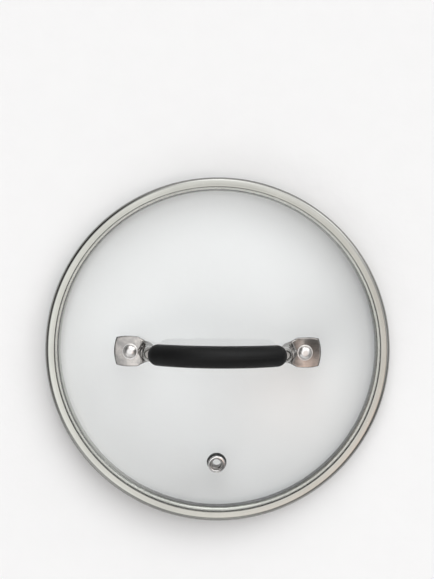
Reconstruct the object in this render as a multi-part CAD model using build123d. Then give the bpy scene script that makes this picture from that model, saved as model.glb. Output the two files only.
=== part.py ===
"""Tempered glass lid for a 20 cm saucepan: a domed glass disc held in a folded steel rim, with a
steam vent and a riveted bow handle that wears a soft grip.

Millimetres, +Z up. The origin is the centre of the rim's lower edge, so the lid stands on z = 0.
The handle runs along X and the steam vent is on the -Y side.
"""

from build123d import *
from math import asin, cos, degrees, radians, sin, sqrt
import os

# Rim: one strip of stainless sheet. It hangs down as a skirt inside the pan, turns out as the
# flange that sits on the pan's edge, and is folded round the glass as a lip. The radii and heights
# are those of the middle of the sheet, except the lip's inner edge.
SHEET = 0.6
SKIRT_RADIUS = 97.1
SKIRT_BEND = 1.5
FLANGE_Z = 10.3
RIM_RADIUS = 105.2
RIM_BEND = 2.1
LIP_RADIUS = 99.7

# Glass: a dome with a flat border all round that the rim grips.
GLASS = 4.0
GLASS_RADIUS = 104.3
GLASS_EDGE_ROUND = 1.9
DOME_RADIUS = 98.2  # where the flat border turns up into the dome
DOME_RISE = 12.8
DOME_FILLET = 9.0

# Handle: a steel tube bent into a bow, with both ends pressed flat and riveted to the glass.
RIVET_PITCH = 105.0
TUBE_RADIUS = 4.5
TUBE_WALL = 1.0
BOW_TOP_Z = 61.0  # the tube's axis at the middle of the bow
BOW_RADIUS = 60.0
BOW_HALF_ANGLE = 35.6
SHOULDER_RADIUS = 15.7

# Foot, with its rivet at the origin and +X towards the rim.
FOOT_SHEET = 2.0
FOOT_END = 9.5
FOOT_END_BULGE = 1.5
FOOT_CORNER = 8.4  # half width at the outer corners
FOOT_MIDDLE = (2.0, 9.2)  # the widest place, and half width there
FOOT_WAIST = (-4.6, 8.9)  # where the sides begin to draw in
FOOT_NECK = (-9.6, 6.4)  # where they reach the leg
FOOT_CORNER_ROUND = 1.2
FOOT_EDGE_ROUND = 0.5

# Leg: half width and half thickness from the foot up to where the tube is round.
FOOT_BEND = 4.5
LEG_ROOT = 5.0  # where the leg begins to swell out of the foot, from the rivet
LEG_ROOT_LIFT = (0.3, 0.2)
LEG_OUTSIDE = [(7.8, 0.6), (7.2, 1.1), (6.7, 1.3), (6.3, 1.95), (6.0, 2.6), (5.7, 3.1), (5.1, 3.9)]
LEG_INSIDE = [(5.3, 0.9), (5.0, 1.6), (4.7, 2.1), (4.1, 2.9)]

# Grip: a moulded sleeve over the bow, a little fuller in its middle.
GRIP_MIDDLE_RADIUS = 6.65
GRIP_END_RADIUS = 6.45

# Rivets, and the soft pads and bushes that keep steel off glass.
RIVET_SHANK = 2.4
RIVET_FLANGE = 4.8
RIVET_FLANGE_HEIGHT = 0.5
RIVET_HEAD = 4.2
RIVET_HEAD_HEIGHT = 2.2
RIVET_TAIL = 4.2
RIVET_TAIL_HEIGHT = 1.5
RIVET_TAIL_CHAMFER = 0.9
RIVET_HOLE = 2.5
GLASS_HOLE = 4.5
BUSH_SLEEVE = 4.4
BUSH_BRIM = 6.0
PAD = 1.0
PAD_SHOWING = 0.8  # how far the pad stands out past the foot's outer end
WASHER_RADIUS = 5.5
WASHER = 1.0

# Steam vent: a flared eyelet rolled over a washer below the glass.
VENT_OFFSET = 69.0
VENT_THROAT = 2.6
VENT_BARREL = 3.2
VENT_BRIM = 5.5
VENT_BRIM_HEIGHT = 1.3
VENT_BRIM_ROUND = 0.9
VENT_BRIM_BULGE = 0.3
VENT_FUNNEL_DEPTH = 0.8
VENT_FUNNEL_BULGE = 0.7
VENT_BELL_BULGE = 0.3
VENT_ROLL = 4.7
VENT_ROLL_HEIGHT = 1.1
VENT_GLASS_HOLE = 4.2
VENT_BUSH_SLEEVE = 4.1
VENT_BUSH_BRIM = 6.0
VENT_BUSH_BORE = 3.3
VENT_SEAL = 0.6
VENT_WASHER = 0.8

TRIM = 0.3  # how far a piece that is trimmed to the curved glass starts past it
DRILL = 4 * GLASS  # length of the cutters for holes

GLASS_BOTTOM_Z = FLANGE_Z + SHEET / 2
GLASS_TOP_Z = GLASS_BOTTOM_Z + GLASS
LIP_Z = GLASS_TOP_Z + SHEET / 2
SPHERE_RADIUS = (DOME_RADIUS**2 + DOME_RISE**2) / (2 * DOME_RISE)
SPHERE_Z = GLASS_TOP_Z + DOME_RISE - SPHERE_RADIUS
BOW_CENTRE_Z = BOW_TOP_Z - BOW_RADIUS


def sphere_point(radius, across):
    """The (distance from the axis, height) of a point on a sphere about the dome's centre."""
    return across, SPHERE_Z + sqrt(radius**2 - across**2)


def ball(radius):
    """A ball about the dome's centre, to trim what lies against the glass."""
    return Pos(0, 0, SPHERE_Z) * Sphere(radius)


def dome_seat(x, y):
    """A plane on top of the glass above (x, y): its z points out of the dome and its x away from the
    lid's middle."""
    rise = sqrt(SPHERE_RADIUS**2 - x**2 - y**2)
    outward = Vector(x, y, rise).normalized()
    away = Vector(x, y, 0).normalized()
    along = (away - outward * away.dot(outward)).normalized()
    return Plane(origin=(x, y, SPHERE_Z + rise), x_dir=along, z_dir=outward)


def turned(seat, *lines):
    """A solid of revolution about the seat's own z, from lines of (radius, height) points that
    close into one outline."""
    edges = [edge for line in lines for edge in line.edges()]
    return seat * revolve(Plane.XZ * make_face(edges), Axis.Z)


def ring(seat, outer, inner, low, high):
    """A flat ring about the seat's z, between two heights."""
    return turned(seat, Polyline((inner, low), (outer, low), (outer, high), (inner, high), close=True))


def rim_ring():
    """The folded rim, its skirt, flange and lip, as one revolved strip of sheet."""
    faces = []
    for side in (1, -1):
        half = side * SHEET / 2
        faces.append(
            FilletPolyline(
                (SKIRT_RADIUS + half, 0),
                (SKIRT_RADIUS + half, FLANGE_Z - half),
                (RIM_RADIUS + half, FLANGE_Z - half),
                (RIM_RADIUS + half, LIP_Z + half),
                (LIP_RADIUS, LIP_Z + half),
                radius=[SKIRT_BEND - half, RIM_BEND + half, RIM_BEND + half],
            )
        )
    outside, inside = faces
    return turned(Plane.XY, outside, inside, Line(outside @ 0, inside @ 0), Line(outside @ 1, inside @ 1))


def glass_dome(seats, vent):
    """The domed disc, drilled square to its surface for the rivets and the vent."""
    below = SPHERE_RADIUS - GLASS
    border = sqrt(below**2 - (GLASS_BOTTOM_Z - SPHERE_Z) ** 2)
    crown = sphere_point(SPHERE_RADIUS, 0)
    under_crown = sphere_point(below, 0)
    top = ThreePointArc(crown, sphere_point(SPHERE_RADIUS, DOME_RADIUS / 2), (DOME_RADIUS, GLASS_TOP_Z))
    bottom = ThreePointArc(under_crown, sphere_point(below, border / 2), (border, GLASS_BOTTOM_Z))
    edge = Polyline(top @ 1, (GLASS_RADIUS, GLASS_TOP_Z), (GLASS_RADIUS, GLASS_BOTTOM_Z), bottom @ 1)
    section = make_face([*top.edges(), *bottom.edges(), *edge.edges(), *Line(crown, under_crown).edges()])
    section = fillet(section.vertices().sort_by(Axis.X)[-2:], GLASS_EDGE_ROUND)
    shoulders = [v for v in section.vertices() if min(abs(v.X - border), abs(v.X - DOME_RADIUS)) < 0.01]
    section = fillet(shoulders, DOME_FILLET)
    disc = revolve(Plane.XZ * section, Axis.Z)
    for seat in seats:
        disc -= seat * Cylinder(GLASS_HOLE, DRILL)
    return disc - vent * Cylinder(VENT_GLASS_HOLE, DRILL)


def foot_outline():
    """The foot seen from above, with +X towards the rim and the rivet at the origin."""
    corner = FOOT_END - FOOT_END_BULGE
    lines = [ThreePointArc((corner, FOOT_CORNER), (FOOT_END, 0), (corner, -FOOT_CORNER))]
    lines.append(Line(FOOT_NECK, (FOOT_NECK[0], -FOOT_NECK[1])))
    for way in (1, -1):
        middle, waist, neck = [(x, way * half) for x, half in (FOOT_MIDDLE, FOOT_WAIST, FOOT_NECK)]
        lines.append(ThreePointArc((corner, way * FOOT_CORNER), middle, waist))
        lines.append(Line(waist, neck))
    outline = make_face([line.edge() for line in lines])
    return fillet(outline.vertices().sort_by(Axis.X)[-2:], FOOT_CORNER_ROUND)


def foot_plate(seat):
    """The flattened end of the tube, lying on its pad, with the rivet's hole."""
    plate = extrude(Pos(0, 0, PAD) * foot_outline(), FOOT_SHEET)
    plate = fillet(plate.faces().sort_by(Axis.Z)[-1].edges(), FOOT_EDGE_ROUND)
    return seat * (plate - Cylinder(RIVET_HOLE, DRILL))


def bow_point(angle):
    """The tube's axis on the bow, by angle from the top."""
    turn = radians(angle)
    return Vector(BOW_RADIUS * sin(turn), 0, BOW_CENTRE_Z + BOW_RADIUS * cos(turn))


def shoulder_point(angle):
    """The tube's axis on the right shoulder, from BOW_HALF_ANGLE to 90, where it runs straight down."""
    tightness = SHOULDER_RADIUS / BOW_RADIUS
    centre = bow_point(BOW_HALF_ANGLE) * (1 - tightness) + Vector(0, 0, BOW_CENTRE_Z) * tightness
    turn = radians(angle)
    return centre + Vector(sin(turn), 0, cos(turn)) * SHOULDER_RADIUS


def towards_left(angle):
    """The way the axis runs at that angle, going from the right foot to the left one."""
    return Vector(-cos(radians(angle)), 0, sin(radians(angle)))


def leg_stations(seat):
    """The right leg's axis from the foot up, as (point, heading) pairs: two in the foot, four round
    the tight bend above it, and one half way up to the shoulder."""
    tilt = degrees(asin(seat.z_dir.X))
    base = seat.origin + seat.z_dir * (PAD + FOOT_SHEET / 2)
    inward = seat.x_dir * -1
    top = shoulder_point(90)
    run = base.X - top.X - FOOT_BEND * (1 - sin(radians(tilt)))
    bend_start = base + inward * (run / cos(radians(tilt)))
    bend_centre = bend_start + seat.z_dir * FOOT_BEND
    stations = [
        (base + inward * LEG_ROOT + seat.z_dir * LEG_ROOT_LIFT[0], inward),
        (bend_start + seat.z_dir * LEG_ROOT_LIFT[1], inward),
    ]
    bend_steps = 4
    for i in range(1, bend_steps + 1):
        turn = (90 - tilt) * i / bend_steps
        out = seat.z_dir.rotate(Axis.Y, turn)
        stations.append((bend_centre - out * FOOT_BEND, inward.rotate(Axis.Y, turn)))
    ankle = stations[-1][0]
    stations.append(((ankle + top) / 2, towards_left(90)))
    return stations


def bar_loft(seat, leg_sizes, radius):
    """One smooth body from the right leg over the bow to the left leg. leg_sizes are the (half
    width, half thickness) of the ellipses at the leg's upper stations, and radius is the tube's."""
    right = list(zip(leg_stations(seat)[-len(leg_sizes) :], leg_sizes))
    shoulder_steps, bow_steps = 4, 3
    for i in range(shoulder_steps + 1):
        angle = 90 - (90 - BOW_HALF_ANGLE) * i / shoulder_steps
        right.append(((shoulder_point(angle), towards_left(angle)), (radius, radius)))
    for i in range(1, bow_steps + 1):
        angle = BOW_HALF_ANGLE * (1 - i / bow_steps)
        right.append(((bow_point(angle), towards_left(angle)), (radius, radius)))
    left = []
    for (point, heading), size in right[-2::-1]:
        across = Vector(-point.X, point.Y, point.Z)
        left.append(((across, Vector(heading.X, heading.Y, -heading.Z)), size))
    sections = []
    for (point, heading), size in right + left:
        sections.append(Plane(origin=point, x_dir=(0, 1, 0), z_dir=heading) * Ellipse(*size))
    return loft(sections)


def handle_bar(seat):
    """The bow with its two legs and feet, hollow from ankle to ankle."""
    foot = foot_plate(seat)
    bar = bar_loft(seat, LEG_OUTSIDE, TUBE_RADIUS) + foot + mirror(foot, Plane.YZ)
    return bar - bar_loft(seat, LEG_INSIDE, TUBE_RADIUS - TUBE_WALL)


def handle_grip(rod):
    """The sleeve: circles lofted along the bow, with domed ends, bored by the solid rod it covers."""
    steps = 8
    sections = []
    for i in range(steps + 1):
        angle = BOW_HALF_ANGLE * (1 - 2 * i / steps)
        fullness = cos(radians(90) * angle / BOW_HALF_ANGLE)
        radius = GRIP_END_RADIUS + (GRIP_MIDDLE_RADIUS - GRIP_END_RADIUS) * fullness
        plane = Plane(origin=bow_point(angle), x_dir=(0, 1, 0), z_dir=towards_left(angle))
        sections.append(plane * Circle(radius))
    sleeve = loft(sections)
    for way in (-1, 1):
        sleeve += Pos(bow_point(way * BOW_HALF_ANGLE)) * Sphere(GRIP_END_RADIUS)
    return sleeve - rod


def foot_pad(seat):
    """The soft pad between foot and glass, its underside hollowed to the dome."""
    pad = extrude(Pos(PAD_SHOWING, 0, -PAD) * foot_outline(), 2 * PAD) - Cylinder(RIVET_HOLE, DRILL)
    return seat * pad - ball(SPHERE_RADIUS)


def top_hat(seat, sleeve, brim, bore, thickness):
    """A soft bush: its sleeve lines a hole in the glass and its brim lies under the glass."""
    low = -GLASS - thickness
    lining = ring(seat, sleeve, bore, low, TRIM) & ball(SPHERE_RADIUS)
    return lining + (ring(seat, brim, bore, low, TRIM - GLASS) & ball(SPHERE_RADIUS - GLASS))


def rivet_bush(seat):
    return top_hat(seat, BUSH_SLEEVE, BUSH_BRIM, RIVET_HOLE, PAD)


def under_washer(seat):
    top = -GLASS - PAD
    return ring(seat, WASHER_RADIUS, RIVET_HOLE, top - WASHER, top)


def rivet(seat):
    """Low domed head with a thin flange, plain shank, and a tail closed over the washer."""
    base = PAD + FOOT_SHEET
    brow = base + RIVET_FLANGE_HEIGHT
    crown = brow + RIVET_HEAD_HEIGHT
    tail = -GLASS - PAD - WASHER
    tip = tail - RIVET_TAIL_HEIGHT
    curve = (RIVET_HEAD**2 + RIVET_HEAD_HEIGHT**2) / (2 * RIVET_HEAD_HEIGHT)
    halfway = (RIVET_HEAD / 2, crown - curve + sqrt(curve**2 - (RIVET_HEAD / 2) ** 2))
    sides = Polyline(
        (0, crown),
        (0, tip),
        (RIVET_TAIL - RIVET_TAIL_CHAMFER, tip),
        (RIVET_TAIL, tip + RIVET_TAIL_CHAMFER),
        (RIVET_TAIL, tail),
        (RIVET_SHANK, tail),
        (RIVET_SHANK, base),
        (RIVET_FLANGE, base),
        (RIVET_FLANGE, brow),
        (RIVET_HEAD, brow),
    )
    return turned(seat, sides, ThreePointArc((RIVET_HEAD, brow), halfway, (0, crown)))


def vent_eyelet(vent):
    """A pressed eyelet: a rounded brim that falls into a funnel, a barrel through the glass, and a
    bell mouth rolled out over the washer."""
    brim_top = VENT_SEAL + VENT_BRIM_HEIGHT
    washer = -GLASS - VENT_SEAL - VENT_WASHER
    tip = washer - VENT_ROLL_HEIGHT
    roll = VENT_ROLL - VENT_BRIM_ROUND
    brow = (VENT_BRIM - VENT_BRIM_ROUND, brim_top)
    throat = (VENT_THROAT, -VENT_FUNNEL_DEPTH)
    outside = Polyline((VENT_ROLL, washer), (VENT_BARREL, washer), (VENT_BARREL, VENT_SEAL))
    under_brim = Line(outside @ 1, (VENT_BRIM, VENT_SEAL))
    brim = SagittaArc(under_brim @ 1, brow, -VENT_BRIM_BULGE)
    funnel = SagittaArc(brow, throat, -VENT_FUNNEL_BULGE)
    bore = Line(throat, (VENT_THROAT, washer))
    bell = SagittaArc(bore @ 1, (roll, tip), -VENT_BELL_BULGE)
    lip = SagittaArc(bell @ 1, (VENT_ROLL, washer), -VENT_BRIM_BULGE)
    return turned(vent, outside, under_brim, brim, funnel, bore, bell, lip)


def vent_bush(vent):
    return top_hat(vent, VENT_BUSH_SLEEVE, VENT_BUSH_BRIM, VENT_BUSH_BORE, VENT_SEAL)


def vent_top_seal(vent):
    """The thin soft ring under the eyelet's brim, on top of the glass."""
    return ring(vent, VENT_BRIM, VENT_BUSH_BORE, -TRIM, VENT_SEAL) - ball(SPHERE_RADIUS)


def vent_washer(vent):
    top = -GLASS - VENT_SEAL
    return ring(vent, WASHER_RADIUS, VENT_BUSH_BORE, top - VENT_WASHER, top)


def build():
    """Every piece of the lid, by name."""
    right = dome_seat(RIVET_PITCH / 2, 0)
    left = dome_seat(-RIVET_PITCH / 2, 0)
    vent = dome_seat(0, -VENT_OFFSET)
    pieces = {
        "rim_ring": rim_ring(),
        "glass_dome": glass_dome([left, right], vent),
        "handle_bar": handle_bar(right),
        "handle_grip": handle_grip(bar_loft(right, LEG_OUTSIDE, TUBE_RADIUS)),
        "vent_eyelet": vent_eyelet(vent),
        "vent_top_seal": vent_top_seal(vent),
        "vent_bush": vent_bush(vent),
        "vent_washer": vent_washer(vent),
    }
    for side, seat in (("left", left), ("right", right)):
        pieces[f"foot_pad_{side}"] = foot_pad(seat)
        pieces[f"rivet_bush_{side}"] = rivet_bush(seat)
        pieces[f"under_washer_{side}"] = under_washer(seat)
        pieces[f"rivet_{side}"] = rivet(seat)
    return pieces


os.makedirs("parts", exist_ok=True)
for name, piece in build().items():
    export_step(piece, f"parts/{name}.step")
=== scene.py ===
"""The looks of a glass saucepan lid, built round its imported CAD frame.

Metres, +Z up. The lid stands on its skirt, its handle runs along X and its steam vent is at -Y.
Each piece is turned, lofted or moulded in mesh code from the lid's own sizes, and replaces the
plain CAD solid of the same name.
"""

from math import asin, cos, exp, pi, radians, sin, sqrt

import bmesh
import bpy
from mathutils import Matrix, Vector


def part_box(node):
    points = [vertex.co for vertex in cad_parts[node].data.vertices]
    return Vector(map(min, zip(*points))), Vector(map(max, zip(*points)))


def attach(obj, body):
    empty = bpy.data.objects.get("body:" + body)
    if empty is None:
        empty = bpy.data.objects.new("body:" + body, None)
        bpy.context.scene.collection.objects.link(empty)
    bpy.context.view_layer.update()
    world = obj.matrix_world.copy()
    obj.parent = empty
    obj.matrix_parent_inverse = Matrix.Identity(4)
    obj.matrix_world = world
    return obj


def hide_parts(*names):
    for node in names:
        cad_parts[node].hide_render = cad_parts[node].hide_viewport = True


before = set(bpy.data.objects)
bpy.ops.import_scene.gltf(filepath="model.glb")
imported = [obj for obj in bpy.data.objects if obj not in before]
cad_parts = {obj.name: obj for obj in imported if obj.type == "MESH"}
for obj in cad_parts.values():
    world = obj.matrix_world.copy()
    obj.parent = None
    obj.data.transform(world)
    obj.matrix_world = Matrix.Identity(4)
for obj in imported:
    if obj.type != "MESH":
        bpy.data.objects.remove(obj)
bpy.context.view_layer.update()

MM = 0.001

# Rim
SHEET = 0.6 * MM
RIM_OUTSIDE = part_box("rim_ring")[1].x
RIM_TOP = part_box("rim_ring")[1].z
SKIRT_OUTSIDE = 97.4 * MM
SKIRT_BEND = 1.5 * MM
FLANGE_UNDERSIDE = 10.0 * MM
RIM_BEND = 2.1 * MM
LIP_INSIDE = 99.7 * MM
CUT_EDGE = SHEET * 0.42  # how round the strip's cut edges are
STANDING_EDGE = 0.01 * MM  # height of the skirt's lower edge, a hair above the ground
RIM_STEPS = 360  # segments round the rim

# Painted shade on the rim: dark lines along its folds, as radii
OUTER_SHADE_LINE = 105.45 * MM
LIP_SHADE_LINE = 99.9 * MM
SKIRT_SHADE_LINE = 97.9 * MM
SHADE_LINE_REACH = 0.3 * MM
SKIRT_SHADE_LINE_REACH = 0.35 * MM

# Glass
GLASS = 4.0 * MM
GLASS_TOP = RIM_TOP - SHEET
GLASS_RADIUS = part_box("glass_dome")[1].x
GLASS_EDGE_ROUND = 1.9 * MM
DOME_RADIUS = 98.2 * MM
DOME_FILLET = 9.0 * MM
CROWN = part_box("glass_dome")[1].z
DOME_RISE = CROWN - GLASS_TOP
SPHERE = (DOME_RADIUS**2 + DOME_RISE**2) / (2 * DOME_RISE)
SPHERE_CENTRE = CROWN - SPHERE

# Handle
RIVET_PITCH = 105 * MM
TUBE = 4.5 * MM
BOW_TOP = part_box("handle_bar")[1].z - TUBE
BOW = 60 * MM
BOW_HALF_ANGLE = radians(35.6)
SHOULDER = 15.7 * MM
FOOT_SHEET = 2.0 * MM
FOOT_BEND = 4.5 * MM
FOOT_END = 9.5 * MM
PARTING = 0.1 * MM  # depth of the fine line where the grip's mould parted
GRIP_MIDDLE = 6.65 * MM
GRIP_END = 6.45 * MM
GRIP_CLEARANCE = 0.12 * MM  # between the tube and the grip's mouth
GRIP_MOUTH = 0.4 * MM  # how far the bore starts inside the domed end
PARTING_WIDTH = 0.05  # radians

# Fastenings
PAD = 1.0 * MM
PAD_SHOWING = 0.8 * MM  # how far the pad stands out past the foot's outer end
RIVET_HOLE = 2.5 * MM
GLASS_HOLE = 4.5 * MM
RIVET_SHANK = 2.4 * MM
RIVET_FLANGE = 4.8 * MM
RIVET_FLANGE_HEIGHT = 0.5 * MM
RIVET_HEAD = 4.2 * MM
RIVET_HEAD_HEIGHT = 2.2 * MM
RIVET_HEAD_BULGE = 0.62 * MM
RIVET_FLAT = 0.9 * MM  # radius of the flats where the punches met the rivet
RIVET_TAIL = 4.2 * MM
RIVET_TAIL_HEIGHT = 1.5 * MM
BUSH_SLEEVE = 4.4 * MM
BUSH_BRIM = 6.0 * MM
WASHER_RADIUS = 5.5 * MM
WASHER = 1.0 * MM
VENT_OFFSET = 69 * MM
VENT_GLASS_HOLE = 4.2 * MM
VENT_BUSH_SLEEVE = 4.1 * MM
VENT_BUSH_BORE = 3.3 * MM
VENT_THROAT = 2.6 * MM
VENT_BARREL = 3.2 * MM
VENT_BRIM = 5.5 * MM
VENT_BRIM_HEIGHT = 1.3 * MM
VENT_ROLL = 4.7 * MM  # radius of the edge rolled over below
VENT_ROLL_HEIGHT = 1.1 * MM
VENT_STEP = 3.75 * MM  # radius of the step in the eyelet's funnel
VENT_SEAL = 0.6 * MM
VENT_SEAL_RADIUS = 5.45 * MM
VENT_WASHER = 0.8 * MM

ROUND_STEPS = 8  # segments in a small rounded corner
SHARP = radians(38)  # edges sharper than this stay crisp


# ---------------------------------------------------------------- shader maths


class Wire:
    """A socket in a finish's tree. Maths on wires adds Math nodes."""

    def __init__(self, finish, socket):
        self.finish = finish
        self.socket = socket

    def math(self, operation, first, second=0.0):
        return self.finish.add("ShaderNodeMath", {"operation": operation}, {0: first, 1: second})

    def __add__(self, other):
        return self.math("ADD", self, other)

    def __sub__(self, other):
        return self.math("SUBTRACT", self, other)

    def __mul__(self, other):
        return self.math("MULTIPLY", self, other)

    def __pow__(self, other):
        return self.math("POWER", self, other)

    def __rsub__(self, other):
        return self.math("SUBTRACT", other, self)

    def __rpow__(self, other):
        return self.math("POWER", other, self)

    def __abs__(self):
        return self.math("ABSOLUTE", self)

    __radd__ = __add__
    __rmul__ = __mul__

    def most(self, other):
        return self.math("MAXIMUM", self, other)

    def ease(self, low, high, to_low=0.0, to_high=1.0):
        """The value taken smoothly from one range to another."""
        ranges = {"From Min": low, "From Max": high, "To Min": to_low, "To Max": to_high}
        settings = {"interpolation_type": "SMOOTHSTEP"}
        return self.finish.add("ShaderNodeMapRange", settings, {"Value": self, **ranges})


class Nodes:
    """A tree of nodes made by add()."""

    def __init__(self, tree):
        self.tree = tree
        self.tree.nodes.clear()

    def add(self, kind, settings=None, sockets=None, output=0):
        """A node of that type. Its settings are set first, then its sockets' values or links."""
        node = self.tree.nodes.new(kind)
        for name, value in (settings or {}).items():
            setattr(node, name, value)
        for name, value in (sockets or {}).items():
            if isinstance(value, Wire):
                self.tree.links.new(value.socket, node.inputs[name])
            else:
                node.inputs[name].default_value = value
        return Wire(self, node.outputs[output]) if node.outputs else node

    def parts(self, vector):
        """A vector's x, y and z as wires."""
        first = self.add("ShaderNodeSeparateXYZ", sockets={0: vector})
        return [Wire(self, first.socket.node.outputs[i]) for i in range(3)]


class Finish(Nodes):
    """One material of the lid."""

    def __init__(self, name):
        self.material = bpy.data.materials.new(name)
        self.material.use_nodes = True
        super().__init__(self.material.node_tree)

    def place(self):
        """Where the shaded point is, in the lid's own frame."""
        return self.add("ShaderNodeTexCoord", output=3)

    def vector(self, x, y, z):
        return self.add("ShaderNodeCombineXYZ", sockets={0: x, 1: y, 2: z})

    def noise(self, vector, scale, detail=3.0, roughness=0.55):
        sockets = {"Vector": vector, "Scale": scale, "Detail": detail, "Roughness": roughness}
        return self.add("ShaderNodeTexNoise", sockets=sockets)

    def stretch(self, vector, x, y, z):
        return self.add("ShaderNodeVectorMath", {"operation": "MULTIPLY"}, {0: vector, 1: (x, y, z)})

    def round_the_axis(self, fine, around):
        """Coordinates that change quickly across a turned piece and slowly round it."""
        x, y, z = self.parts(self.place())
        radius = (x * x + y * y) ** 0.5
        flat = self.stretch(self.place(), 1, 1, 0)
        turn = self.parts(self.add("ShaderNodeVectorMath", {"operation": "NORMALIZE"}, {0: flat}))
        return self.vector(turn[0] * around, turn[1] * around, (radius + z) * fine)

    def along(self, radius, line, reach):
        """1 on a circular line, falling to 0 at its reach on either side."""
        return abs(radius - line).ease(reach, reach * 0.3)

    def mix(self, mask, first, second):
        """A colour between two, by a mask."""
        return self.add(
            "ShaderNodeMix", {"data_type": "RGBA"}, {0: mask, 6: first, 7: second}, output=2
        )

    def bump(self, height, depth, strength=1.0):
        """A normal that stands proud by up to that depth where the height is 1."""
        sockets = {"Height": height, "Distance": depth, "Strength": strength}
        return self.add("ShaderNodeBump", sockets=sockets)

    def principled(self, **sockets):
        named = {name.replace("_", " "): value for name, value in sockets.items()}
        return self.add("ShaderNodeBsdfPrincipled", sockets=named)

    def done(self, surface):
        self.add("ShaderNodeOutputMaterial", sockets={"Surface": surface})
        return self.material


def grey(level, warmth=0.0):
    """A colour of that level, redder and less blue by the warmth."""
    return (level * (1 + warmth), level, level * (1 - warmth), 1.0)


# ---------------------------------------------------------------- finishes


def spun_steel():
    """Satin stainless strip, spun round the rim, with painted shade along its folds, over its outer
    roll and on one side of the skirt's inner face.
    """
    f = Finish("spun_stainless")
    lines = f.noise(f.round_the_axis(9000, 1.6), 1.0, detail=6, roughness=0.7)
    broad = f.noise(f.round_the_axis(900, 2.5), 1.0)
    cloud = f.noise(f.place(), 22, detail=4)
    spots = f.noise(f.place(), 900, detail=2).ease(0.66, 0.76)
    tone = f.mix(cloud.ease(0.3, 0.7), (0.39, 0.395, 0.365, 1), (0.46, 0.465, 0.43, 1))
    tone = f.mix(lines.ease(0.35, 0.7) * 0.35, tone, (0.6, 0.6, 0.57, 1))
    x, y, z = f.parts(f.place())
    radius = (x * x + y * y) ** 0.5
    # painted shade: the outer roll is darkened
    roll = radius.ease(103.0 * MM, 103.8 * MM)
    tone = f.mix(roll * 0.55, tone, grey(0.2, 0.02))
    shaded_side = (x - y).ease(-20 * MM, 90 * MM)  # painted shade: the skirt's inner face is darker on one side
    skirt = radius.ease(97.15 * MM, 97.0 * MM) * z.ease(11 * MM, 9 * MM)
    # painted shade: dark lines at the outer edge, the lip's cut edge and the skirt's bend, and the skirt's
    # inner face on one side, mixed to near black
    outer = f.along(radius, OUTER_SHADE_LINE, SHADE_LINE_REACH)
    lip = f.along(radius, LIP_SHADE_LINE, SHADE_LINE_REACH) * 0.8
    inner = skirt * shaded_side + f.along(radius, SKIRT_SHADE_LINE, SKIRT_SHADE_LINE_REACH) * (1 - shaded_side)
    tone = f.mix(outer + lip + inner, tone, grey(0.03, 0.05))
    rough = 0.13 + lines * 0.12 + cloud * 0.06 + spots * 0.06
    normal = f.bump(lines * 0.6 + broad * 0.4, 0.012 * MM)
    return f.done(f.principled(Base_Color=tone, Metallic=1.0, Roughness=rough, Normal=normal))


def clear_glass():
    """Clear tempered glass. Lamps and scattered light pass through it as through a pale filter."""
    f = Finish("clear_tempered_glass")
    sweep = f.noise(f.place(), 14, detail=2)
    pucker = f.noise(f.place(), 170, detail=3)
    smear = f.noise(f.stretch(f.place(), 1, 2.4, 1), 45, detail=5).ease(0.5, 0.8)
    normal = f.bump(sweep + pucker * 0.5, 0.12 * MM)
    body = {"Color": (0.966, 0.971, 0.971, 1), "IOR": 1.5, "Roughness": smear * 0.02, "Normal": normal}
    glass = f.add("ShaderNodeBsdfGlass", sockets=body)
    through = f.add("ShaderNodeBsdfTransparent", sockets={"Color": (0.957, 0.962, 0.961, 1)})
    shadow = f.add("ShaderNodeLightPath", output=1)
    scattered = Wire(f, shadow.socket.node.outputs["Is Diffuse Ray"])
    return f.done(f.add("ShaderNodeMixShader", sockets={0: shadow.most(scattered), 1: glass, 2: through}))


def polished_tube():
    """Polished stainless tube with fine draw lines and a few handling scuffs."""
    f = Finish("polished_stainless")
    draw = f.noise(f.stretch(f.place(), 90, 2600, 420), 1.0, detail=4)
    cloud = f.noise(f.place(), 160, detail=3)
    scuff = f.noise(f.stretch(f.place(), 300, 1100, 300), 1.0, detail=5).ease(0.62, 0.74)
    tone = f.mix(cloud.ease(0.35, 0.65), grey(0.25, 0.03), grey(0.37, 0.05))
    rough = 0.09 + draw * 0.08 + scuff * 0.16
    normal = f.bump(draw * 0.5 + cloud, 0.015 * MM)
    return f.done(f.principled(Base_Color=tone, Metallic=1.0, Roughness=rough, Normal=normal))


def bright_steel(name, level, roughness, throat=None):
    """Bright pressed steel: rivets, washers and the vent's eyelet. A throat, given as the y of its
    axis, gets painted shade inside it and along the step in its funnel."""
    f = Finish(name)
    grain = f.noise(f.place(), 2600, detail=3)
    cloud = f.noise(f.place(), 420, detail=3)
    tone = f.mix(cloud.ease(0.3, 0.7), grey(level, 0.01), grey(level + 0.08, 0.03))
    if throat:
        x, y, _ = f.parts(f.place())
        radius = (x * x + (y - throat) ** 2) ** 0.5
        # painted shade inside the throat and along the step in its funnel
        throat_shade = radius.ease(3.4 * MM, 2.7 * MM) + abs(radius - VENT_STEP).ease(0.4 * MM, 0.1 * MM) * 0.8
        tone = f.mix(throat_shade, tone, grey(0.1, 0.06))
    rough = roughness + grain * 0.1 + cloud * 0.08
    normal = f.bump(grain * 0.3 + cloud, 0.012 * MM)
    return f.done(f.principled(Base_Color=tone, Metallic=1.0, Roughness=rough, Normal=normal))


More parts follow.
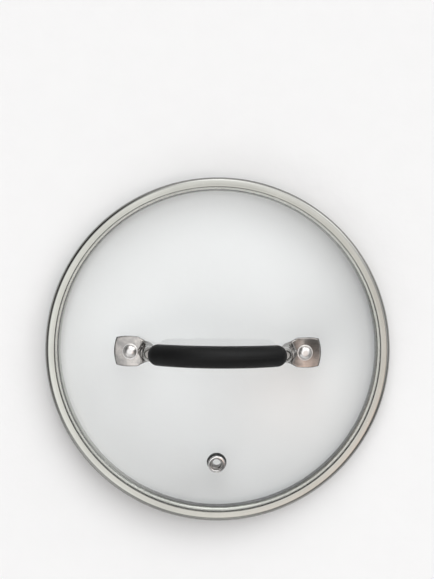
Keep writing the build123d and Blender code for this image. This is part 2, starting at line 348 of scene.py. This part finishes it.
def grip_rubber():
    """Matte black moulded silicone with fine lengthwise drag marks and a dusting of wear."""
    f = Finish("matte_black_silicone")
    drag = f.noise(f.stretch(f.place(), 60, 1900, 700), 1.0, detail=4)
    grain = f.noise(f.place(), 5200, detail=2)
    worn = f.noise(f.stretch(f.place(), 40, 160, 160), 1.0, detail=5).ease(0.5, 0.75)
    lint = f.noise(f.place(), 2400, detail=1).ease(0.73, 0.78)
    tone = f.mix(worn * 0.6, grey(0.005, -0.05), grey(0.010, -0.08))
    tone = f.mix(lint * 0.4, tone, grey(0.1))
    rough = 0.42 + drag * 0.12 - worn * 0.06
    normal = f.bump(drag * 0.7 + grain * 0.4, 0.03 * MM)
    return f.done(
        f.principled(Base_Color=tone, Roughness=rough, Normal=normal, Specular_IOR_Level=0.19)
    )


def seal_rubber():
    """Black silicone of the pads, bushes and seals: duller than the grip, with a moulded grain."""
    f = Finish("black_seal_silicone")
    grain = f.noise(f.place(), 3800, detail=3)
    bloom = f.noise(f.place(), 330, detail=4).ease(0.45, 0.75)
    tone = f.mix(bloom, grey(0.004), grey(0.011, -0.02))
    rough = 0.5 + grain * 0.15 + bloom * 0.08
    normal = f.bump(grain, 0.02 * MM)
    return f.done(
        f.principled(Base_Color=tone, Roughness=rough, Normal=normal, Specular_IOR_Level=0.3)
    )


def white_paper():
    """The pale sheet the lid lies on, very slightly cockled."""
    f = Finish("white_paper")
    cockle = f.noise(f.place(), 60, detail=3)
    fibre = f.noise(f.place(), 1400, detail=3)
    tone = f.mix(cockle.ease(0.3, 0.7), grey(0.896, -0.003), grey(0.904, -0.003))
    normal = f.bump(cockle + fibre * 0.04, 0.3 * MM)
    return f.done(f.principled(Base_Color=tone, Roughness=0.9, Normal=normal, Specular_IOR_Level=0.1))


# ---------------------------------------------------------------- shapes


def piece_from(bm, name, node, material, sharp=SHARP):
    """Makes the object, puts it in place of its CAD node and gives it its finish."""
    bmesh.ops.recalc_face_normals(bm, faces=bm.faces)
    mesh = bpy.data.meshes.new(name)
    bm.to_mesh(mesh)
    bm.free()
    mesh.materials.append(material)
    mesh.polygons.foreach_set("use_smooth", [True] * len(mesh.polygons))
    mesh.set_sharp_from_angle(angle=sharp)
    piece = bpy.data.objects.new(name, mesh)
    bpy.context.scene.collection.objects.link(piece)
    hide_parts(node)
    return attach(piece, "root")


def seat(x, y):
    """The frame on top of the glass above (x, y): z out of the dome, x away from the middle."""
    rise = sqrt(SPHERE**2 - x**2 - y**2)
    out = Vector((x, y, rise)).normalized()
    away = Vector((x, y, 0)).normalized()
    along = (away - out * away.dot(out)).normalized()
    turned = Matrix((along, out.cross(along), out)).transposed().to_4x4()
    return Matrix.Translation((x, y, SPHERE_CENTRE + rise)) @ turned


def rounded(corners, steps=ROUND_STEPS, closed=True):
    """An outline whose corners, given as (across, up, radius), are rounded by arcs."""
    points = []
    count = len(corners)
    for i, (across, up, radius) in enumerate(corners):
        here = Vector((across, up))
        at_end = not closed and i in (0, count - 1)
        if radius == 0 or at_end:
            points.append(here)
            continue
        back = (Vector(corners[i - 1][:2]) - here).normalized()
        ahead = (Vector(corners[(i + 1) % count][:2]) - here).normalized()
        half = back.angle(ahead) / 2
        reach = radius / sin(half)
        centre = here + (back + ahead).normalized() * reach
        start = here + back * (reach * cos(half)) - centre
        turn = start.angle_signed(here + ahead * (reach * cos(half)) - centre)
        for k in range(steps + 1):
            swing = -turn * k / steps
            c, s = cos(swing), sin(swing)
            points.append(centre + Vector((start.x * c - start.y * s, start.x * s + start.y * c)))
    return points


def arc(start, end, bulge, steps):
    """Points after start up to end on an arc that bulges to the left of the way by that much."""
    start, end = Vector(start), Vector(end)
    if bulge == 0:
        return [start.lerp(end, k / steps) for k in range(1, steps + 1)]
    chord = end - start
    left = Vector((-chord.y, chord.x)).normalized()
    radius = (chord.length**2 / 4 + bulge**2) / (2 * bulge)
    centre = (start + end) / 2 + left * (bulge - radius)
    ray = start - centre
    turn = 2 * asin(max(-1.0, min(1.0, chord.length / 2 / radius)))
    if abs(bulge) > chord.length / 2:
        turn = (2 * pi - abs(turn)) * (1 if turn > 0 else -1)
    points = []
    for k in range(1, steps + 1):
        c, s = cos(-turn * k / steps), sin(-turn * k / steps)
        points.append(centre + Vector((ray.x * c - ray.y * s, ray.x * s + ray.y * c)))
    return points


def loft(bm, rows, closed_rows, closed_ends=False, caps=False):
    """Skins rows of points, all of the same length, one after another."""
    made = [[bm.verts.new(p) for p in row] for row in rows]
    pairs = list(zip(made, made[1:]))
    if closed_ends:
        pairs.append((made[-1], made[0]))
    width = len(made[0])
    across = width if closed_rows else width - 1
    for low, high in pairs:
        for i in range(across):
            j = (i + 1) % width
            bm.faces.new((low[i], low[j], high[j], high[i]))
    if caps:
        bm.faces.new(made[0])
        bm.faces.new(made[-1])
    return made


def turned(outline, place, steps):
    """A turned piece: a closed outline of (radius, height) spun about the place's z. Points on the
    axis become one vertex."""
    bm = bmesh.new()
    rows = []
    for k in range(steps):
        c, s = cos(2 * pi * k / steps), sin(2 * pi * k / steps)
        rows.append([place @ Vector((p[0] * c, p[0] * s, p[1])) for p in outline])
    loft(bm, rows, closed_rows=True, closed_ends=True)
    bmesh.ops.remove_doubles(bm, verts=bm.verts, dist=0.0005 * MM)
    return bm


def rim_ring(material):
    """The folded strip: skirt, flange, outer wall and the lip that holds the glass down."""
    inside = SKIRT_OUTSIDE - SHEET
    flange_top = FLANGE_UNDERSIDE + SHEET
    wall = RIM_OUTSIDE - SHEET
    bend = RIM_BEND - SHEET / 2
    outline = rounded(
        [
            (SKIRT_OUTSIDE, STANDING_EDGE, CUT_EDGE),
            (SKIRT_OUTSIDE, FLANGE_UNDERSIDE, SKIRT_BEND - SHEET / 2),
            (RIM_OUTSIDE, FLANGE_UNDERSIDE, bend + SHEET),
            (RIM_OUTSIDE, RIM_TOP, bend + SHEET),
            (LIP_INSIDE, RIM_TOP, CUT_EDGE),
            (LIP_INSIDE, GLASS_TOP, CUT_EDGE),
            (wall, GLASS_TOP, bend),
            (wall, flange_top, bend),
            (inside, flange_top, SKIRT_BEND + SHEET / 2),
            (inside, STANDING_EDGE, CUT_EDGE),
        ],
        steps=12,
    )
    bm = turned(outline, Matrix(), RIM_STEPS)
    return piece_from(bm, "rim", "rim_ring", material)


def glass_section():
    """Half of the glass's section from crown to crown: top, rounded edge, underside."""
    below = SPHERE - GLASS
    under = GLASS_TOP - GLASS
    border = sqrt(below**2 - (under - SPHERE_CENTRE) ** 2)

    def on_sphere(radius, across):
        return (across, SPHERE_CENTRE + sqrt(radius**2 - across**2))

    def shoulder(radius, across, flat):
        """Where the dome runs into the flat border, eased over the fillet's length."""
        slope = asin(across / radius)
        reach = DOME_FILLET * (slope / 2)
        points = []
        steps = 8
        for k in range(steps + 1):
            t = -1 + 2 * k / steps
            x = across + t * reach
            dip = (1 - abs(t)) ** 2 * reach * slope / 4
            line = flat if t >= 0 else on_sphere(radius, x)[1]
            points.append((x, line + dip))
        return points

    top_shoulder = shoulder(SPHERE, DOME_RADIUS, GLASS_TOP)
    low_shoulder = shoulder(below, border, under)
    rings = 24
    top = [on_sphere(SPHERE, top_shoulder[0][0] * k / rings) for k in range(rings)]
    bottom = [on_sphere(below, low_shoulder[0][0] * k / rings) for k in range(rings)]
    edge = rounded(
        [
            (top_shoulder[-1][0], GLASS_TOP, 0),
            (GLASS_RADIUS, GLASS_TOP, GLASS_EDGE_ROUND),
            (GLASS_RADIUS, under, GLASS_EDGE_ROUND),
            (low_shoulder[-1][0], under, 0),
        ],
        steps=10,
        closed=False,
    )
    return top + top_shoulder + [tuple(p) for p in edge[1:-1]] + low_shoulder[::-1] + bottom[::-1]


def drill(place, radius):
    """A round cutter through the glass, square to its surface."""
    bm = bmesh.new()
    bmesh.ops.create_cone(
        bm, cap_ends=True, segments=96, radius1=radius, radius2=radius, depth=6 * GLASS, matrix=place
    )
    mesh = bpy.data.meshes.new("drill")
    bm.to_mesh(mesh)
    bm.free()
    cutter = bpy.data.objects.new("drill", mesh)
    bpy.context.scene.collection.objects.link(cutter)
    return cutter


def glass_dome(material, feet, vent):
    """The domed disc with its three drilled holes."""
    bm = turned(glass_section(), Matrix(), 288)
    piece = piece_from(bm, "glass", "glass_dome", material)
    cutters = [drill(place, GLASS_HOLE) for place in feet] + [drill(vent, VENT_GLASS_HOLE)]
    for cutter in cutters:
        cut = piece.modifiers.new("drilled", "BOOLEAN")
        cut.object = cutter
        cut.solver = "EXACT"
    depsgraph = bpy.context.evaluated_depsgraph_get()
    drilled = bpy.data.meshes.new_from_object(piece.evaluated_get(depsgraph))
    piece.modifiers.clear()
    piece.data = drilled
    drilled.set_sharp_from_angle(angle=SHARP)
    for cutter in cutters:
        bpy.data.objects.remove(cutter)
    return piece


FOOT_OUTLINE = [
    # (along, half width) from the outer corner to the leg
    (8.0 * MM, 8.4 * MM),
    (5.0 * MM, 9.0 * MM),
    (2.0 * MM, 9.2 * MM),
    (-1.4 * MM, 9.15 * MM),
    (-4.6 * MM, 8.9 * MM),
    (-9.6 * MM, 6.4 * MM),
]
FOOT_HALF_WIDTH = 9.2 * MM
FOOT_CROWN = 0.28 * MM


def foot_outline():
    """The foot's outline in its seat, as a closed list of points from the outer end round."""
    corner = FOOT_OUTLINE[0]
    end = arc((corner[0], -corner[1]), (corner[0], corner[1]), -(FOOT_END - corner[0]), 14)
    start = [Vector((corner[0], -corner[1]))]
    sides = [Vector(p) for p in FOOT_OUTLINE[1:]]
    mirrored = [Vector((p[0], -p[1])) for p in reversed(FOOT_OUTLINE[1:])]
    return start + end + sides + mirrored


def foot_half_width(along):
    """Half the foot's width at a place along it."""
    corner_x, corner_y = FOOT_OUTLINE[0]
    for (x1, y1), (x2, y2) in zip(FOOT_OUTLINE, FOOT_OUTLINE[1:]):
        if x2 <= along <= x1:
            return y2 + (y1 - y2) * (along - x2) / (x1 - x2)
    if along < FOOT_OUTLINE[-1][0]:
        return FOOT_OUTLINE[-1][1]
    sagitta = FOOT_END - corner_x
    radius = (corner_y**2 + sagitta**2) / (2 * sagitta)
    return sqrt(max(0.0, radius**2 - (along - FOOT_END + radius) ** 2))


def smooth(t):
    t = max(0.0, min(1.0, t))
    return t * t * (3 - 2 * t)


def bow_point(angle):
    return Vector((BOW * sin(angle), 0, BOW_TOP - BOW + BOW * cos(angle)))


def shoulder_point(angle):
    tight = SHOULDER / BOW
    centre = bow_point(BOW_HALF_ANGLE) * (1 - tight) + Vector((0, 0, BOW_TOP - BOW)) * tight
    return centre + Vector((sin(angle), 0, cos(angle))) * SHOULDER


def half_bar_path(place):
    """The tube's axis from the right foot's outer end to the top of the bow, as (point, heading,
    distance inward from the rivet)."""
    tilt = asin(place.col[2].x)
    out = place.col[2].to_3d()
    inward = -place.col[0].to_3d()
    base = place.translation + out * (PAD + FOOT_SHEET / 2)
    top = shoulder_point(pi / 2)
    run = (base.x - top.x - FOOT_BEND * (1 - sin(tilt))) / cos(tilt)
    path = []

    def add(point, heading):
        length = path[-1][2] + (point - path[-1][0]).length if path else -FOOT_END
        path.append((point, heading, length))

    foot_steps = 110
    for k in range(foot_steps + 1):
        t = k / foot_steps
        add(base + inward * (-FOOT_END * 0.9995 + (FOOT_END + run) * t**1.35), inward)
    centre = base + inward * run + out * FOOT_BEND
    bend_steps = 22
    sweep = pi / 2 - tilt
    for k in range(1, bend_steps + 1):
        turn = Matrix.Rotation(sweep * k / bend_steps, 3, "Y")
        add(centre - (turn @ out) * FOOT_BEND, turn @ inward)
    ankle = path[-1][0]
    rise_steps = 5
    for k in range(1, rise_steps + 1):
        add(ankle.lerp(top, k / rise_steps), Vector((0, 0, 1)))
    shoulder_steps = 18
    for k in range(1, shoulder_steps + 1):
        angle = pi / 2 + (BOW_HALF_ANGLE - pi / 2) * k / shoulder_steps
        add(shoulder_point(angle), Vector((-cos(angle), 0, sin(angle))))
    bow_steps = 20
    for k in range(1, bow_steps + 1):
        angle = BOW_HALF_ANGLE * (1 - k / bow_steps)
        add(bow_point(angle), Vector((-cos(angle), 0, sin(angle))))
    return path


# The leg: (distance from the rivet, half width, half thickness), from the foot's neck to the round
# tube.
LEG = [
    (6.0 * MM, 8.2 * MM, 1.0 * MM),
    (7.5 * MM, 7.45 * MM, 1.1 * MM),
    (9.2 * MM, 6.6 * MM, 1.35 * MM),
    (10.8 * MM, 6.3 * MM, 1.95 * MM),
    (12.3 * MM, 6.0 * MM, 2.6 * MM),
    (13.9 * MM, 5.7 * MM, 3.1 * MM),
    (16.8 * MM, 5.1 * MM, 3.9 * MM),
    (19.6 * MM, TUBE, TUBE),
]
CREASE_START = 4.7 * MM  # the tip of the crease where the leg begins to swell out of the foot
CREASE_SLANT = 0.6  # how far the crease runs back for each millimetre from the middle
CREASE_RISE = 1.2 * MM
CREASE_RUN = 0.9 * MM
FOLD_AFTER = 3.1 * MM  # a second fold, nested in the first
FOLD_DEPTH = 0.5 * MM
FOLD_RUN = 0.55 * MM


def bar_section(length):
    """The pressed tube's (half width, half thickness, corner radius) by distance from the rivet."""
    width, thickness = foot_half_width(-length), FOOT_SHEET / 2
    for (near, wide, thick), (far, next_wide, next_thick) in zip(LEG, LEG[1:]):
        if length > near:
            share = min(1.0, (length - near) / (far - near))
            width = wide + (next_wide - wide) * share
            thickness = thick + (next_thick - thick) * share
    end = (length + FOOT_END) / (0.5 * MM)
    if end < 1:
        thickness *= 0.72 + 0.28 * sqrt(max(0.0, 1 - (1 - end) ** 2))
    rounding = smooth((length - 4 * MM) / (9 * MM))
    corner = min(width, 0.5 * MM + (TUBE - 0.5 * MM) * rounding, thickness)
    return width, thickness, corner


def foot_crown(length, across):
    """How far the foot's top stands above flat: highest round the rivet, falling to its edges."""
    fall = (across / FOOT_HALF_WIDTH) ** 2 + (length / FOOT_END) ** 2
    return FOOT_CROWN * (1 - fall) * (1 - smooth(length / CREASE_START))


def crease_rise(length, across, width):
    """How far the upper side stands proud of the pressed section: a V that opens away from the
    rivet, with one more fold behind it."""
    past = length - CREASE_START - CREASE_SLANT * abs(across)
    rise = CREASE_RISE * (1 - exp(-max(0.0, past) / CREASE_RUN))
    fold = FOLD_DEPTH * exp(-(((past - FOLD_AFTER) / FOLD_RUN) ** 2))
    fading = 1 - smooth((length - 9 * MM) / (6 * MM))
    return (rise - fold) * fading * max(0.0, 1 - (abs(across) / max(width, 1e-6)) ** 4)


def handle_bar(material, feet):
    """The bow: a tube whose ends are pressed flat, with a creased swelling where each leg begins."""
    half = half_bar_path(feet[1])
    mirrored = []
    for point, heading, length in half[-2::-1]:
        mirrored.append((Vector((-point.x, 0, point.z)), Vector((heading.x, 0, -heading.z)), length))
    rows = []
    flats, corners = 22, 10
    for point, heading, length in half + mirrored:
        width, thickness, corner = bar_section(length)
        up = heading.cross(Vector((0, 1, 0)))
        up = -up if up.z < 0 or (abs(up.z) < 1e-6 and up.x * point.x < 0) else up
        row = []

        def put(across, high):
            """One point of the section, with the crease's rise on its upper side."""
            lift = crease_rise(length, across, width) + foot_crown(length, across) if high > 0 else 0.0
            row.append(point + Vector((0, across, 0)) + up * (high + lift))

        straight = width - corner
        for k in range(flats + 1):
            put(-straight + 2 * straight * k / flats, thickness)
        for k in range(1, corners):
            turn = pi / 2 - pi / 2 * k / corners
            put(straight + corner * cos(turn), thickness - corner + corner * sin(turn))
        for k in range(corners + 1):
            turn = -pi / 2 * k / corners
            put(straight + corner * cos(turn), -(thickness - corner) + corner * sin(turn))
        for k in range(1, flats):
            put(straight - 2 * straight * k / flats, -thickness)
        for k in range(corners + 1):
            turn = -pi / 2 - pi / 2 * k / corners
            put(-straight + corner * cos(turn), -(thickness - corner) + corner * sin(turn))
        for k in range(1, corners):
            turn = pi - pi / 2 * k / corners
            put(-straight + corner * cos(turn), thickness - corner + corner * sin(turn))
        rows.append(row)
    bm = bmesh.new()
    loft(bm, rows, closed_rows=True, caps=True)
    return piece_from(bm, "bow_handle", "handle_bar", material)


def handle_grip(material):
    """The moulded sleeve: fuller in its middle, with domed ends, a lip round the tube and the fine
    parting line of its two-part mould."""
    rows = []
    steps = 72
    cap_steps = 14
    bore = TUBE + GRIP_CLEARANCE
    cap = sqrt(GRIP_END**2 - bore**2)
    stations = []
    for k in range(cap_steps):
        reach = cap * cos(pi / 2 * k / cap_steps)
        stations.append((-BOW_HALF_ANGLE, -reach, sqrt(GRIP_END**2 - reach**2)))
    for k in range(steps + 1):
        angle = -BOW_HALF_ANGLE + 2 * BOW_HALF_ANGLE * k / steps
        fullness = cos(pi / 2 * angle / BOW_HALF_ANGLE)
        stations.append((angle, 0.0, GRIP_END + (GRIP_MIDDLE - GRIP_END) * fullness))
    for k in range(1, cap_steps + 1):
        reach = cap * sin(pi / 2 * k / cap_steps)
        stations.append((BOW_HALF_ANGLE, reach, sqrt(GRIP_END**2 - reach**2)))
    mouth = cap - GRIP_MOUTH
    inner = [(BOW_HALF_ANGLE, mouth, TUBE), (-BOW_HALF_ANGLE, -mouth, TUBE)]
    around = 96
    turns = [2 * pi * k / around for k in range(around)]
    for middle in (pi / 2, 3 * pi / 2):
        turns += [middle + off for off in (-0.045, -0.022, 0.022, 0.045)]
    turns.sort()
    for angle, reach, radius in stations + inner:
        centre = bow_point(angle)
        along = Vector((cos(angle), 0, -sin(angle)))
        up = Vector((sin(angle), 0, cos(angle)))
        near_end = 1.0 if reach == 0 else max(0.0, 1 - abs(reach) / cap)
        row = []
        for turn in turns:
            off = min(abs(turn - pi / 2), abs(turn - 3 * pi / 2)) / PARTING_WIDTH
            line = PARTING * exp(-4 * off**2) * near_end
            here = radius - (line if radius > TUBE else 0.0)
            row.append(centre + along * reach + Vector((0, cos(turn) * here, 0)) + up * sin(turn) * here)
        rows.append(row)
    bm = bmesh.new()
    loft(bm, rows, closed_rows=True, closed_ends=True)
    return piece_from(bm, "grip", "handle_grip", material)


def foot_pad(material, place, side):
    """The soft pad under a foot: the foot's outline with swollen sides, hollowed to the dome."""
    outline = [p + Vector((PAD_SHOWING, 0)) for p in foot_outline()]
    # (how far the side draws in, share of the height) from the glass up
    layers = [(0.15, 0.0), (0.03, 0.18), (0.0, 0.5), (0.03, 0.82), (0.15, 1.0)]
    rows = []

    def layer(points, share):
        row = []
        for p in points:
            fall = -(p.x**2 + p.y**2) / (2 * SPHERE)
            row.append(place @ Vector((p.x, p.y, fall + (PAD - fall) * share)))
        return row

    hole = [p.normalized() * RIVET_HOLE for p in outline]
    rows.append(layer(hole, 0.0))
    for inset, share in layers:
        rows.append(layer([p - p.normalized() * inset * MM for p in outline], share))
    rows.append(layer(hole, 1.0))
    bm = bmesh.new()
    loft(bm, rows, closed_rows=True, closed_ends=True)
    return piece_from(bm, f"pad_{side}", f"foot_pad_{side}", material)


def rivet(material, place, side):
    """A set rivet: domed head with a small flat where the punch met it, flange, shank and a closed
    tail."""
    base = PAD + FOOT_SHEET
    brow = base + RIVET_FLANGE_HEIGHT
    dome_foot = brow + 0.15 * MM
    crown = brow + RIVET_HEAD_HEIGHT
    tail = -GLASS - PAD - WASHER
    tip = tail - RIVET_TAIL_HEIGHT
    dimple = 0.05 * MM  # depth of the punch's mark
    dome = arc((RIVET_HEAD, dome_foot), (RIVET_FLAT, crown - dimple), -RIVET_HEAD_BULGE, 16)
    outline = [Vector((0, crown - 0.02 * MM)), Vector((0, tip + dimple))]
    outline += rounded(
        [
            (RIVET_FLAT, tip + dimple, 0.1 * MM),
            (1.5 * MM, tip, 0.2 * MM),
            (3.5 * MM, tip, 0.6 * MM),
            (RIVET_TAIL, tip + 0.8 * MM, 0.3 * MM),
            (RIVET_TAIL, tail, 0.1 * MM),
            (RIVET_SHANK, tail, 0),
            (RIVET_SHANK, base, 0),
            (RIVET_FLANGE, base, 0.12 * MM),
            (RIVET_FLANGE, brow, 0.25 * MM),
            (RIVET_HEAD, brow, 0),
        ],
        steps=5,
        closed=False,
    )
    outline += [Vector((RIVET_HEAD, dome_foot))] + dome
    bm = turned(outline, place, 72)
    return piece_from(bm, f"rivet_{side}", f"rivet_{side}", material)


def bush(material, place, name, node, sleeve, brim, bore, thickness):
    """A moulded top-hat bush: its sleeve lines the hole and its brim lies under the glass."""
    low = -GLASS - thickness
    outline = rounded(
        [
            (bore, low, 0.08 * MM),
            (brim, low, 0.2 * MM),
            (brim, low + thickness * 0.96, 0.15 * MM),
            (sleeve, low + thickness * 0.99, 0.05 * MM),
            (sleeve, -0.05 * MM, 0.2 * MM),
            (bore, -0.05 * MM, 0.1 * MM),
        ],
        steps=4,
    )
    bm = turned(outline, place, 72)
    return piece_from(bm, name, node, material)


def flat_ring(material, place, name, node, outer, inner, low, high):
    """A stamped or moulded ring with eased edges."""
    ease = min(0.18 * MM, (high - low) * 0.3)
    outline = rounded(
        [(inner, low, ease), (outer, low, ease), (outer, high, ease), (inner, high, ease)], steps=4
    )
    bm = turned(outline, place, 72)
    return piece_from(bm, name, node, material)


def vent_eyelet(material, vent):
    """The pressed eyelet: rolled brim, funnel, straight throat and a bell mouth below."""
    washer = -GLASS - VENT_SEAL - VENT_WASHER
    top = VENT_SEAL + VENT_BRIM_HEIGHT
    tip = washer - VENT_ROLL_HEIGHT
    lip = (4.4 * MM, top)
    step = (VENT_STEP, top - 0.6 * MM)
    narrow = (VENT_THROAT, -0.8 * MM)
    end = (VENT_THROAT, washer)
    bell = (3.8 * MM, tip)
    outline = rounded(
        [
            (VENT_ROLL, washer, 0.1 * MM),
            (VENT_BARREL, washer, 0),
            (VENT_BARREL, VENT_SEAL, 0),
            (VENT_BRIM, VENT_SEAL, 0.3 * MM),
            (VENT_BRIM - 0.1 * MM, top - 0.15 * MM, 0.8 * MM),
            (*lip, 0.5 * MM),
        ],
        steps=7,
        closed=False,
    )
    outline += arc(lip, step, 0.16 * MM, 6)
    outline += arc(step, narrow, 0.4 * MM, 10)
    outline += arc(narrow, end, 0, 4)
    outline += arc(end, bell, 0.3 * MM, 8)
    outline += arc(bell, (VENT_ROLL, washer + 0.05 * MM), -0.3 * MM, 6)[:-1]
    bm = turned(outline, vent, 96)
    return piece_from(bm, "vent_eyelet_rolled", "vent_eyelet", material)


# ---------------------------------------------------------------- the lid

feet = [seat(-RIVET_PITCH / 2, 0), seat(RIVET_PITCH / 2, 0)]
vent = seat(0, -VENT_OFFSET)

steel_rim = spun_steel()
steel_tube = polished_tube()
steel_rivet = bright_steel("rivet_stainless", 0.66, 0.24)
steel_washer = bright_steel("washer_stainless", 0.56, 0.16)
steel_eyelet = bright_steel("eyelet_stainless", 0.6, 0.07, throat=vent.translation.y)
black_seal = seal_rubber()

rim_ring(steel_rim)
glass_dome(clear_glass(), feet, vent)
handle_bar(steel_tube, feet)
handle_grip(grip_rubber())
for side, place in zip(("left", "right"), feet):
    foot_pad(black_seal, place, side)
    rivet(steel_rivet, place, side)
    bush(
        black_seal, place, f"bush_{side}", f"rivet_bush_{side}",
        BUSH_SLEEVE, BUSH_BRIM, RIVET_HOLE, PAD,
    )
    high = -GLASS - PAD
    flat_ring(
        steel_washer, place, f"washer_{side}", f"under_washer_{side}",
        WASHER_RADIUS, RIVET_HOLE, high - WASHER, high,
    )
vent_eyelet(steel_eyelet, vent)
bush(
    black_seal, vent, "vent_lining", "vent_bush",
    VENT_BUSH_SLEEVE, BUSH_BRIM, VENT_BUSH_BORE, VENT_SEAL,
)
flat_ring(
    black_seal, vent, "vent_seal", "vent_top_seal",
    VENT_SEAL_RADIUS, VENT_BUSH_BORE, -0.02 * MM, VENT_SEAL,
)
flat_ring(
    steel_washer, vent, "vent_washer_disc", "vent_washer",
    WASHER_RADIUS, VENT_BUSH_BORE, -GLASS - VENT_SEAL - VENT_WASHER, -GLASS - VENT_SEAL,
)


# ---------------------------------------------------------------- floor, light and camera


def floor():
    bm = bmesh.new()
    bmesh.ops.create_grid(bm, x_segments=8, y_segments=8, size=6.0)
    mesh = bpy.data.meshes.new("paper")
    bm.to_mesh(mesh)
    bm.free()
    mesh.materials.append(white_paper())
    sheet = bpy.data.objects.new("paper", mesh)
    bpy.context.scene.collection.objects.link(sheet)


def glow(nodes, bearing, height, spread, strength):
    """Soft light from one part of the room, by its bearing from +X and its angle above the floor, in
    degrees. It is half as strong at its spread's angle away."""
    turn, climb = radians(bearing), radians(height)
    towards = (cos(climb) * cos(turn), cos(climb) * sin(turn), sin(climb))
    facing = nodes.add(
        "ShaderNodeVectorMath", {"operation": "DOT_PRODUCT"},
        {0: nodes.add("ShaderNodeTexCoord"), 1: towards}, output=1,
    )
    return 2 ** ((facing - 1) * (1 / (1 - cos(radians(spread))))) * strength


BACKDROP = 0.9  # the room as the camera sees it past the paper
WARM = (1.0, 0.78, 0.68, 1.0)
EXPOSURE = 1.015
BELOW = 0.7  # light that reaches the lid's underside when it is held up


def studio():
    """A room of soft diffused light: strong behind and to the right, even overhead, faint in front,
    with a small warm light, a dark flag on the right and a little light from below."""
    world = bpy.data.worlds.new("pale_room")
    world.use_nodes = True
    nodes = Nodes(world.node_tree)
    # Bearings, heights and spreads are a regular grid. The strengths of the pale lights came from a
    # least-squares fit done by a separate program, and were rounded. One was changed by eye.
    behind = glow(nodes, 45, 30, 14, 4.5) + glow(nodes, 90, 30, 14, 4.2)
    behind += glow(nodes, 90, 50, 13, 2.3) + glow(nodes, 45, 50, 13, 0.5)
    sides = glow(nodes, 0, 50, 13, 1.6) + glow(nodes, 0, 30, 14, 0.6) + glow(nodes, 180, 30, 14, 0.3)
    front = glow(nodes, 270, 30, 14, 1.7) + glow(nodes, 225, 30, 14, 1.9) + glow(nodes, 315, 30, 14, 0.4)
    front += glow(nodes, 240, 9, 14, 0.5) + glow(nodes, 300, 9, 14, 1.1)
    overhead = glow(nodes, 45, 70, 11, 1.9) + glow(nodes, 90, 70, 11, 1.3) + glow(nodes, 135, 70, 11, 1.2)
    overhead += glow(nodes, 180, 70, 11, 1.2) + glow(nodes, 225, 70, 11, 1.6) + glow(nodes, 270, 70, 11, 1.0)
    overhead += glow(nodes, 0, 90, 11, 0.5)
    warm = glow(nodes, 318, 69, 9, 1.5)
    flag = 1 - glow(nodes, -2, 67, 5.5, 1.0)
    below = nodes.parts(nodes.add("ShaderNodeTexCoord"))[2].ease(-0.02, -0.3, 0.0, BELOW)
    seen = nodes.add("ShaderNodeLightPath")
    lit = (behind + sides + front + overhead) * EXPOSURE * flag + below
    room = lit * (1 - seen) + seen * BACKDROP
    pale = nodes.add("ShaderNodeBackground", sockets={"Strength": room})
    blush = {"Color": WARM, "Strength": warm * flag * (1 - seen)}
    tinted = nodes.add("ShaderNodeBackground", sockets=blush)
    both = nodes.add("ShaderNodeAddShader", sockets={0: pale, 1: tinted})
    nodes.add("ShaderNodeOutputWorld", sockets={"Surface": both})
    bpy.context.scene.world = world


LENS = 110.69  # focal length in mm on a 36 mm sensor
CAMERA_PLACE = (-0.6 * MM, 99 * MM, 1100 * MM)
CAMERA_TIP = radians(-3.26)  # from straight down
CAMERA_ROLL = radians(0.45)


def camera():
    lens = bpy.data.cameras.new("camera")
    lens.lens = LENS
    lens.sensor_width = 36
    lens.clip_start = 0.05
    placed = bpy.data.objects.new("camera", lens)
    tip = Matrix.Rotation(CAMERA_TIP, 4, "X")
    roll = Matrix.Rotation(CAMERA_ROLL, 4, "Z")
    placed.matrix_world = Matrix.Translation(CAMERA_PLACE) @ tip @ roll
    bpy.context.scene.collection.objects.link(placed)
    bpy.context.scene.camera = placed


floor()
studio()
camera()
bpy.context.scene.view_settings.view_transform = "Standard"
